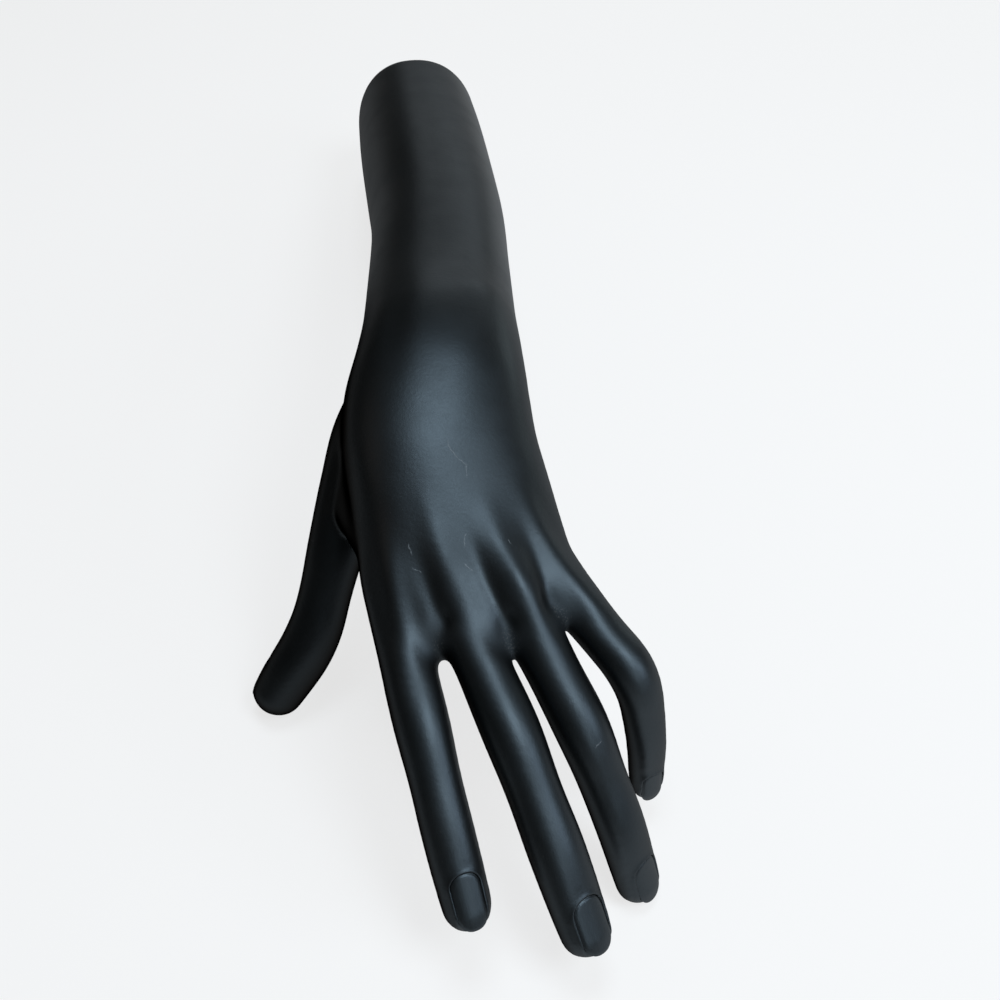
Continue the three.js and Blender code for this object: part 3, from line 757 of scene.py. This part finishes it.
def near_nail(nail, points, reach):
    local = nail.local(points)
    close = (np.abs(local[:, :2]) < np.array((nail.width, nail.length)) / 2 + reach).all(axis=1)
    close &= local[:, 2] > 0
    outside = np.full(len(points), 1e3)
    outside[close] = nail.outside(local[close])
    return local, close, outside


for reach in FINER_REACHES:
    points = points_of(skin)
    skin.verts.index_update()
    wanted = np.zeros(len(points), bool)
    for nail in nails:
        wanted |= np.abs(near_nail(nail, points, 4)[2]) < reach
    edges = [e for e in skin.edges if wanted[e.verts[0].index] and wanted[e.verts[1].index]]
    bmesh.ops.subdivide_edges(skin, edges=edges, cuts=1, use_grid_fill=True)
points = points_of(skin)
soften = np.zeros(len(points))
for nail in nails:
    soften[np.abs(near_nail(nail, points, 5)[2]) < 3] = 1
relax(skin, soften, 4)

points = points_of(skin)
for nail in nails:
    local, close, outside = near_nail(nail, points, 5)
    high = local[:, 2]
    bed = nail.top(local) - NAIL_THICKNESS - BED_GAP
    share = local[:, 1] / nail.length + 0.5
    past_root, before_tip = ease(share, 0.1, 0.3), 1 - ease(share, 0.8, 0.98)
    lip = (LIP_HEIGHT + LIP_GROWTH * past_root) * bump(outside - LIP_PLACE, LIP_WIDTH) * before_tip
    groove = GROOVE - GROOVE_GROWTH * past_root
    wall = ease(outside, groove + WALL_FOOT, groove + WALL_TOP)
    pressed = np.minimum(high, bed) * (1 - wall) + (high + lip) * wall
    high_new = np.where(close & (outside < BED_REACH), pressed, high)
    points = points + (high_new - high)[:, None] * nail.up
move_points(skin, points)
counts("skin with nail beds:", skin)

# %% [markdown]
# ## Finishing a piece
# Shapes are worked out in the hand's own frame. A finished mesh is taken to the table by the settling
# matrix, so its object stays at the origin.

# %% Settle a piece on the table
def finish_piece(bm, name, material, slot, *nodes, crease=180):
    bm.transform(settle)
    for face in bm.faces:
        face.smooth = True
    for edge in bm.edges:
        edge.smooth = edge.calc_face_angle(0) < math.radians(crease)
    piece = object_from(bm, name)
    piece.data.materials.append(material)
    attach(piece, "root")
    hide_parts(*nodes)

# %% [markdown]
# ## Marks on the paint
# Real marks lie at known places: a bowed scratch over the middle of the back, short scuffs on the
# knuckles and the thumb, and grey dust in the pockets behind the webs. They could be painted on a
# picture wrapped round the hand. Here a scratch is where a thin sphere shell meets the skin, so a few
# distances draw each one, and it stays sharp from close by.

# %% Marks on the paint
# limb, distance along it, across, half length, turn from straight ahead, radius of its bow
SCRATCHES = [
    ("arm", 46, 1.6, 5.5, 25, 10), ("arm", 51, 3.6, 2.6, -12, 9),
    ("arm", 70, -1, 2.2, -20, 6), ("arm", 77, -2, 2, 35, 8), ("arm", 69, -15.6, 2.2, 0, 7),
    ("arm", 74.5, -15, 1.8, 50, 5), ("arm", 73, 10.2, 1.8, 10, 6), ("ring", 47.5, -2.4, 1.6, -60, 5),
    ("thumb", 53, 7, 2.6, 80, 6), ("thumb", 57, 5, 1.8, 40, 5),
]
SCRATCH_HALF_WIDTH = 0.2
SCRATCH_WANDER = 1.6
DUST_REACH = 6.5
limbs = {"arm": arm, **digits}
pockets = [settle @ Vector(pocket) for pocket in pocket_points.values()]


def skin_point(limb, distance, across):
    centre, ahead, side, up = (v[0] for v in limb.frame(distance))
    half, height, _ = limb.size(distance)[0]
    rise = height * (1 - min(0.98, abs(across) / half) ** limb.squareness) ** (1 / limb.squareness)
    return centre + across * side + rise * up, ahead, side


def scratches(here):
    """1 on the scratches, 0 elsewhere."""
    broken = here.noise(2600, 3, 0.7).smooth(0.35, 0.55) * here.noise(260, 1).smooth(0.28, 0.45)
    wander = (here.noise(420, 3, 0.6) - 0.5) * SCRATCH_WANDER * MM
    total = None
    for name, distance, across, half_length, turn, bow in SCRATCHES:
        point, ahead, side = skin_point(limbs[name], distance, across)
        t = math.radians(turn)
        bow_centre = point + bow * (math.cos(t) * side - math.sin(t) * ahead)
        off_line = (here.distance_to(settle @ Vector(bow_centre)) - bow * MM + wander).positive()
        line = 1 - off_line.smooth(0.3 * SCRATCH_HALF_WIDTH * MM, SCRATCH_HALF_WIDTH * MM)
        from_middle = here.distance_to(settle @ Vector(point))
        near = 1 - from_middle.smooth(0.55 * half_length * MM, half_length * MM)
        total = line * near if total is None else total.larger(line * near)
    return total * broken


def dust(here):
    """Specks of dust, thick in the pockets behind the webs and sparse elsewhere."""
    specks = here.noise(2000, 2, 0.6)
    total = specks.smooth(0.7, 0.76) * here.noise(60, 2).smooth(0.45, 0.65) * 0.6
    for pocket in pockets:
        near = 1 - here.distance_to(pocket).smooth(0.45 * DUST_REACH * MM, DUST_REACH * MM)
        total = total.larger(near * specks.smooth(0.56, 0.64) * 0.8)
    return total


print(len(SCRATCHES), "scratches and", len(pockets), "dusty pockets")

# %% [markdown]
# ## Black satin paint
# The paint is nearly black, a little warm in its depth, with a soft bluish sheen. A coat without a shine
# of its own lies over it like a tinted varnish: it takes away light, and more of it where the surface is
# seen at a shallow angle, which keeps the flanks dark. How much coat each point gets is painted shade,
# kept as a measure on the skin's points. It is most on the thumb and on the flanks that face the thumb's
# side, a little more on the hand's other flank, and more on the forearm than on the hand. It is less on
# the forearm's other flank, which comes out painted lighter.

# %% The paint itself
# coat weights that paint shade: darker forearm, darker hand flanks and a darker thumb
ARM_SHADE_COAT, HAND_SHADE_COAT = 0.72, 0.58
THUMB_SHADE_COAT = 0.42

skin.normal_update()
lacquer = skin.verts.layers.float.new("lacquer")
points = points_of(skin)
sideways = np.array([vert.normal.x for vert in skin.verts])
on_hand = ease(place_on(arm, points)[0], -60, 20)
on_thumb = 1 - ease(height_over(digits["thumb"], place_on(digits["thumb"], points)), 1, 4)
shade_coats = ARM_SHADE_COAT + (HAND_SHADE_COAT - ARM_SHADE_COAT) * on_hand + THUMB_SHADE_COAT * on_thumb
shade_coats += (0.1 + 0.4 * on_hand) * np.maximum(-sideways, 0)
shade_coats += (0.37 * on_hand - 0.25) * np.maximum(sideways, 0)
for vert, coat in zip(skin.verts, np.minimum(shade_coats, 1)):
    vert[lacquer] = coat
print("lacquer from", round(shade_coats.min(), 2), "to", round(min(shade_coats.max(), 1), 2))

PAINT_SHEEN = {
    "IOR": 1.6, "Specular IOR Level": 1.0, "Specular Tint": (0.68, 0.86, 1, 1),
    "Coat Weight": 1.0, "Coat IOR": 1.0, "Coat Roughness": 0.5, "Coat Tint": (0.31, 0.3, 0.29, 1),
}
satin, here, shader = new_material("satin_black", PAINT_SHEEN)
worn = scratches(here)
dusty = dust(here)
cloudy = here.noise(26, 3)
handled = here.noise(75, 4, 0.6).smooth(0.42, 0.66)
paint = cloudy.smooth(0.35, 0.65).mix_colours((0.0055, 0.0045, 0.004), (0.0085, 0.0072, 0.0065))
paint = worn.mix_colours(paint, (0.21, 0.225, 0.24))
feed(shader, "Base Color", dusty.mix_colours(paint, (0.13, 0.13, 0.127)))
grain = here.noise(1700, 2)
pocketed = None
for pocket in pockets:
    near = 1 - here.distance_to(pocket).smooth(0.3 * DUST_REACH * MM, 1.5 * DUST_REACH * MM)
    pocketed = near if pocketed is None else pocketed.larger(near)
matt = 0.15 * worn + 0.2 * dusty + 0.4 * pocketed
feed(shader, "Roughness", 0.36 + 0.04 * cloudy + 0.03 * handled + 0.06 * grain + matt)
waves = 0.2 * here.noise(140, 3, 0.55) + 0.3 * here.noise(900, 3, 0.6)
feed(shader, "Normal", here.bump(waves, 0.12, 0.001))
# the coat weight read here is the painted shade kept on the skin's points
feed(shader, "Coat Weight", here.node("ShaderNodeAttribute", {"attribute_name": "lacquer"}, out="Fac"))
finish_piece(skin, "hand_skin", satin, "shell", "back_shell", "palm_shell")

# %% [markdown]
# ## Nails
# Each nail starts as a flat grid whose rows are drawn in to the outline and bent over the bed. Its rim
# is turned down a little, and the sheet then gets its thickness. The nails are a little smoother than
# the skin and have faint ridges from root to tip, so each keeps its flat measures as a UV map.

# %% Nail plates
NAIL_COAT = 0.6
RIM_DROP = 0.2

nail_satin, here, shader = new_material("nail_satin", {**PAINT_SHEEN, "Coat Weight": NAIL_COAT})
flat_place = here.node("ShaderNodeTexCoord", out="UV")
lengthwise = flat_place.vector("MULTIPLY", flat_place, (1, 0.06, 1))
ridges = lengthwise.noise(2.1, 3, 0.6)
scuffed = here.noise(900, 3).smooth(0.6, 0.72)
nail_paint = ridges.smooth(0.3, 0.75).mix_colours((0.006, 0.0055, 0.005), (0.0105, 0.0095, 0.009))
feed(shader, "Base Color", nail_paint)
feed(shader, "Roughness", 0.33 + 0.1 * ridges + 0.12 * scuffed + 0.04 * here.noise(300))
feed(shader, "Normal", here.bump(ridges - 0.3 * scuffed, 0.12, 0.0002))

for nail in nails:
    bm = bmesh.new()
    bmesh.ops.create_grid(bm, x_segments=18, y_segments=34, size=1)
    flat = points_of(bm)
    y = nail.length / 2 * np.sin(flat[:, 1] * math.pi / 2)
    x = nail.half_width(y) * np.sin(flat[:, 0] * math.pi / 2)
    local = np.stack([x, y, 0 * x], 1)
    local[:, 2] = nail.top(local) - RIM_DROP * bump(nail.outside(local), 0.35)
    move_points(bm, nail.world(local))
    bmesh.ops.remove_doubles(bm, verts=bm.verts, dist=0.004)
    bmesh.ops.recalc_face_normals(bm, faces=bm.faces)
    if sum(face.normal.dot(Vector(nail.up)) for face in bm.faces) < 0:
        bmesh.ops.reverse_faces(bm, faces=bm.faces)
    bmesh.ops.solidify(bm, geom=bm.faces, thickness=NAIL_THICKNESS)
    bmesh.ops.recalc_face_normals(bm, faces=bm.faces)
    # the UV map holds millimetres across and along the nail
    layer = bm.loops.layers.uv.new("flat")
    bm.verts.index_update()
    measures = nail.local(points_of(bm))[:, :2]
    for loop in (loop for face in bm.faces for loop in face.loops):
        loop[layer].uv = measures[loop.vert.index]
    finish_piece(bm, nail.name + "_nail_plate", nail_satin, "nail", nail.name + "_nail")
print(len(nails), "nails")

# %% [markdown]
# ## The forearm's end
# A steel plate closes the forearm. Its oval edge follows the tapering hollow, so it is made from the
# same ring sizes. The middle hole takes a stand's threaded rod, and three countersunk screws hold the
# plate to a wooden plug. Holes are cut with turned cutters that share their sizes with the screws.

# %% Turned shapes and cuts
PLATE_THICKNESS = 2.5
FIT = 0.3
SCREW_CIRCLE = 10
SCREW_PROFILE = [(2.7, 0), (2.93, 0.06), (3, 0.2), (1.5, 1.7)]
SCREW_THREAD = [(1.5 - 0.35 * (i % 2), 2 + 0.45 * i) for i in range(22)]
SCREW_POINT = [(0.9, 12.6), (0.25, 13.5)]
ROD_THREAD = [(4 - 0.28 * (i % 2), 0.95 + 0.25 * i) for i in range(7)]
ROD_PROFILE = [(4.7, -1), (4.7, 0), (4, 0.7)] + ROD_THREAD + [(4, 4)]
SLOT = (9, 1.4, 0.8)
BROKEN_EDGE = 0.09
TURNED_SIDES = 48
end_centre, end_ahead, end_side, end_up = (v[0] for v in arm.frame(arm.start))


def turned(profile, across=0.0, rise=0.0):
    """A turned shape whose axis runs into the forearm; each profile point is a radius and a depth."""
    bm = bmesh.new()
    middle = end_centre + across * end_side + rise * end_up
    angles = 2 * math.pi * np.arange(TURNED_SIDES) / TURNED_SIDES
    circle = np.cos(angles)[:, None] * end_side + np.sin(angles)[:, None] * end_up
    tube(bm, [middle + depth * end_ahead + radius * circle for radius, depth in profile])
    bmesh.ops.recalc_face_normals(bm, faces=bm.faces)
    return bm


def cut(bm, cutters):
    """The mesh less its cutters, with its sharp edges slightly broken."""
    piece = object_from(bm, "uncut")
    tools = [object_from(cutter, "cutter") for cutter in cutters]
    for tool in tools:
        modifier = piece.modifiers.new("cut", "BOOLEAN")
        modifier.operation = "DIFFERENCE"
        modifier.solver = "EXACT"
        modifier.object = tool
    breaking = piece.modifiers.new("break_edges", "BEVEL")
    breaking.width = BROKEN_EDGE
    breaking.segments = 2
    breaking.limit_method = "ANGLE"
    breaking.angle_limit = math.radians(40)
    return applied(piece, *tools)


def slot_cutter(across, rise, turn):
    bm = bmesh.new()
    bmesh.ops.create_cube(bm, size=1)
    axes = Matrix((end_side, end_ahead, end_up)).transposed().to_4x4()
    middle = Matrix.Translation(end_centre + across * end_side + rise * end_up)
    bm.transform(middle @ axes @ Matrix.Rotation(turn, 4, "Y") @ Matrix.Diagonal((*SLOT, 1)))
    return bm


screw_places = [(SCREW_CIRCLE * math.sin(a), SCREW_CIRCLE * math.cos(a)) for a in np.radians((60, 180, 300))]

# %% [markdown]
# ## Plate and screws
# The plate is brushed steel, and the screws are turned. The brushing could be cut into the mesh, but a
# noise stretched along one direction gives the same fine streaks without a single face. The screws'
# slots stand at odd angles, as a screwdriver leaves them.

# %% Steel, plate and screws
def settled(direction):
    """A direction of the hand's own frame on the table."""
    return (settle.to_3x3() @ Vector(direction)).normalized()


def brushed_steel(name, streak, fineness):
    """Steel with fine streaks along one direction; fineness is lines per metre."""
    material, here, shader = new_material(name, {"Metallic": 1.0})
    streak, third = settled(streak), settled(end_ahead)
    place = here.node("ShaderNodeCombineXYZ", None, {
        "X": here.along(streak) * 25, "Y": here.along(streak.cross(third)) * fineness,
        "Z": here.along(third) * fineness})
    lines = place.noise(1, 4, 0.65)
    smudge = here.noise(110, 3)
    feed(shader, "Base Color", smudge.mix_colours((0.5, 0.5, 0.51), (0.66, 0.66, 0.66)))
    feed(shader, "Roughness", 0.22 + 0.18 * lines + 0.12 * smudge)
    feed(shader, "Normal", here.bump(lines, 0.25, 0.0002))
    return material


plate_steel = brushed_steel("brushed_steel", end_side, 2600)
screw_steel = brushed_steel("turned_steel", end_up, 1500)
plate_ends = [(0, 0.35), (0.35, 0)] + [(d, 0) for d in np.linspace(1, PLATE_THICKNESS, 4)]
plate = bmesh.new()
tube(plate, [arm.ring(arm.start + depth, rim_size(arm.start + depth, WALL + FIT + less), ARM_SIDES)
             for depth, less in plate_ends])
bmesh.ops.recalc_face_normals(plate, faces=plate.faces)
wider = [(radius + FIT, depth + FIT) for radius, depth in SCREW_PROFILE[2:]]
screw_hole = [(SCREW_PROFILE[2][0] + FIT, -1), *wider, (wider[-1][0], 4)]
plate = cut(plate, [turned(ROD_PROFILE)] + [turned(screw_hole, *place) for place in screw_places])
finish_piece(plate, "end_plate", plate_steel, "steel", "fitting_plate", crease=35)
for i, place in enumerate(screw_places):
    blank = turned(SCREW_PROFILE + SCREW_THREAD + SCREW_POINT, *place)
    screw = cut(blank, [slot_cutter(*place, 0.6 + 1.1 * i)])
    finish_piece(screw, f"slotted_screw_{i + 1}", screw_steel, "steel", f"plate_screw_{i + 1}", crease=35)
print("plate and", len(screw_places), "screws")

# %% [markdown]
# ## The pieces inside
# The resin fill, the wires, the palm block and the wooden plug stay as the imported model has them. Only
# the plug can be glimpsed, through the rod's hole, but each gets its own material: cast resin with small
# bubbles, steel wire and sawn wood with rings.

# %% Resin, wire and wood
resin, here, shader = new_material("cast_resin", {})
cloud = here.noise(70, 3)
cells = here.node("ShaderNodeTexVoronoi", None, {"Vector": here, "Scale": 420}, "Distance")
bubbles = 1 - cells.smooth(0.12, 0.3)
feed(shader, "Base Color", cloud.smooth(0.3, 0.7).mix_colours((0.3, 0.2, 0.09), (0.42, 0.31, 0.17)))
feed(shader, "Roughness", 0.38 + 0.2 * cloud + 0.15 * bubbles)
feed(shader, "Normal", here.bump(cloud - 0.8 * bubbles, 0.3, 0.0003))

wood, here, shader = new_material("sawn_wood", {"Specular IOR Level": 0.3})
wobble = here.noise(40, 2) * 0.004
away = here.along(settled(end_side)) + wobble
height = here.along(settled(end_up)) + wobble
rings_place = away * away + height * height
growth = rings_place.maths("SQRT", rings_place) * 3200
growth = 0.5 + 0.5 * growth.maths("SINE", growth)
fibre = here.vector("MULTIPLY", here, (900, 60, 900)).noise(1, 4, 0.7)
grained = growth * 0.6 + fibre * 0.4
feed(shader, "Base Color", grained.mix_colours((0.42, 0.25, 0.12), (0.62, 0.43, 0.24)))
feed(shader, "Roughness", 0.58 + 0.2 * fibre)
feed(shader, "Normal", here.bump(fibre + 0.4 * growth, 0.35, 0.0004))

inner_looks = {"resin": resin, "steel": screw_steel, "wood": wood}
inner_nodes = {
    "resin": ["palm_block"] + [f"{name}_core" for name in DIGITS],
    "steel": [f"{name}_wire" for name in DIGITS],
    "wood": ["end_plug"],
}
for look, node_names in inner_nodes.items():
    for node_name in node_names:
        for material_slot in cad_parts[node_name].material_slots:
            material_slot.material = inner_looks[look]
print(sum(map(len, inner_nodes.values())), "inner pieces painted")

# %% [markdown]
# ## Floor and light
# A plain pale floor glows a little for the camera and in reflections, so it looks white but keeps the
# shadow. A lamp overhead gives the broad sheen on the back, and window lamps from the right and front
# pick out the knuckles, the fingertips and the nails. Weak lamps behind and at the left keep the forearm
# and the thumb's side from going dead.

# %% Floor, lamps and world
FLOOR_GLOW = 0.74
FLOOR_HALF = 6
# place and aim in metres, width and height, power in watts, colour
LAMPS = {
    "ceiling": ((0.02, 0.11, 1.13), (0.02, -0.06, 0.05), (0.4, 0.4), 4.2, (0.82, 0.92, 1)),
    "window": ((0.52, -0.36, 0.98), (0.03, -0.1, 0.05), (0.45, 0.4), 5.2, (0.84, 0.93, 1)),
    "window_low": ((0.91, -0.4, 0.6), (0.03, -0.1, 0.05), (0.4, 0.35), 2.4, (0.78, 0.88, 1)),
    "front": ((0.56, -0.87, 0.59), (0.03, -0.15, 0.05), (0.4, 0.3), 1.1, (0.84, 0.93, 1)),
    "behind": ((0.12, 1.0, 0.36), (0, 0.08, 0.06), (0.7, 0.25), 1.05, (0.94, 0.98, 1)),
    "low_right": ((0.8, 0.75, 0.3), (0, 0.08, 0.06), (0.5, 0.3), 0.9, (0.92, 1, 0.98)),
    "warm_left": ((-0.81, 0.1, 0.75), (0, -0.05, 0.05), (0.4, 0.4), 0.25, (1, 0.72, 0.58)),
}

floor_bm = bmesh.new()
bmesh.ops.create_grid(floor_bm, x_segments=1, y_segments=1, size=FLOOR_HALF)
floor = object_from(floor_bm, "floor")
floor_material, here, floor_shader = new_material("floor_paint", {"Base Color": (0.86, 0.86, 0.86, 1)})
feed(floor_shader, "Roughness", 0.8 + 0.1 * here.noise(30))
rays = [here.node("ShaderNodeLightPath", out=f"Is {kind} Ray")
        for kind in ("Camera", "Glossy", "Transmission")]
shows = rays[0].larger(rays[1]).larger(rays[2]) * FLOOR_GLOW
glow = here.node("ShaderNodeEmission")
painted = Socket(here.tree, floor_shader.outputs["BSDF"])
mixed = here.node("ShaderNodeMixShader", None, {0: shows, 1: painted, 2: glow})
here.tree.links.new(mixed.out, here.tree.nodes["Material Output"].inputs["Surface"])
floor.data.materials.append(floor_material)
for name, (place, aim, size, power, colour) in LAMPS.items():
    lamp_data = bpy.data.lights.new(name, "AREA")
    lamp_data.shape = "RECTANGLE"
    lamp_data.size, lamp_data.size_y = size
    lamp_data.energy = power
    lamp_data.color = colour
    lamp = bpy.data.objects.new(name, lamp_data)
    lamp.location = place
    lamp.rotation_euler = (Vector(aim) - Vector(place)).to_track_quat("-Z", "Y").to_euler()
    bpy.context.scene.collection.objects.link(lamp)
print(len(LAMPS), "lamps")

world = bpy.data.worlds.new("room")
world.use_nodes = True
background = world.node_tree.nodes["Background"]
background.inputs["Color"].default_value = (0.93, 1, 0.96, 1)
background.inputs["Strength"].default_value = 0.06
bpy.context.scene.world = world
bpy.context.scene.view_settings.view_transform = "Standard"
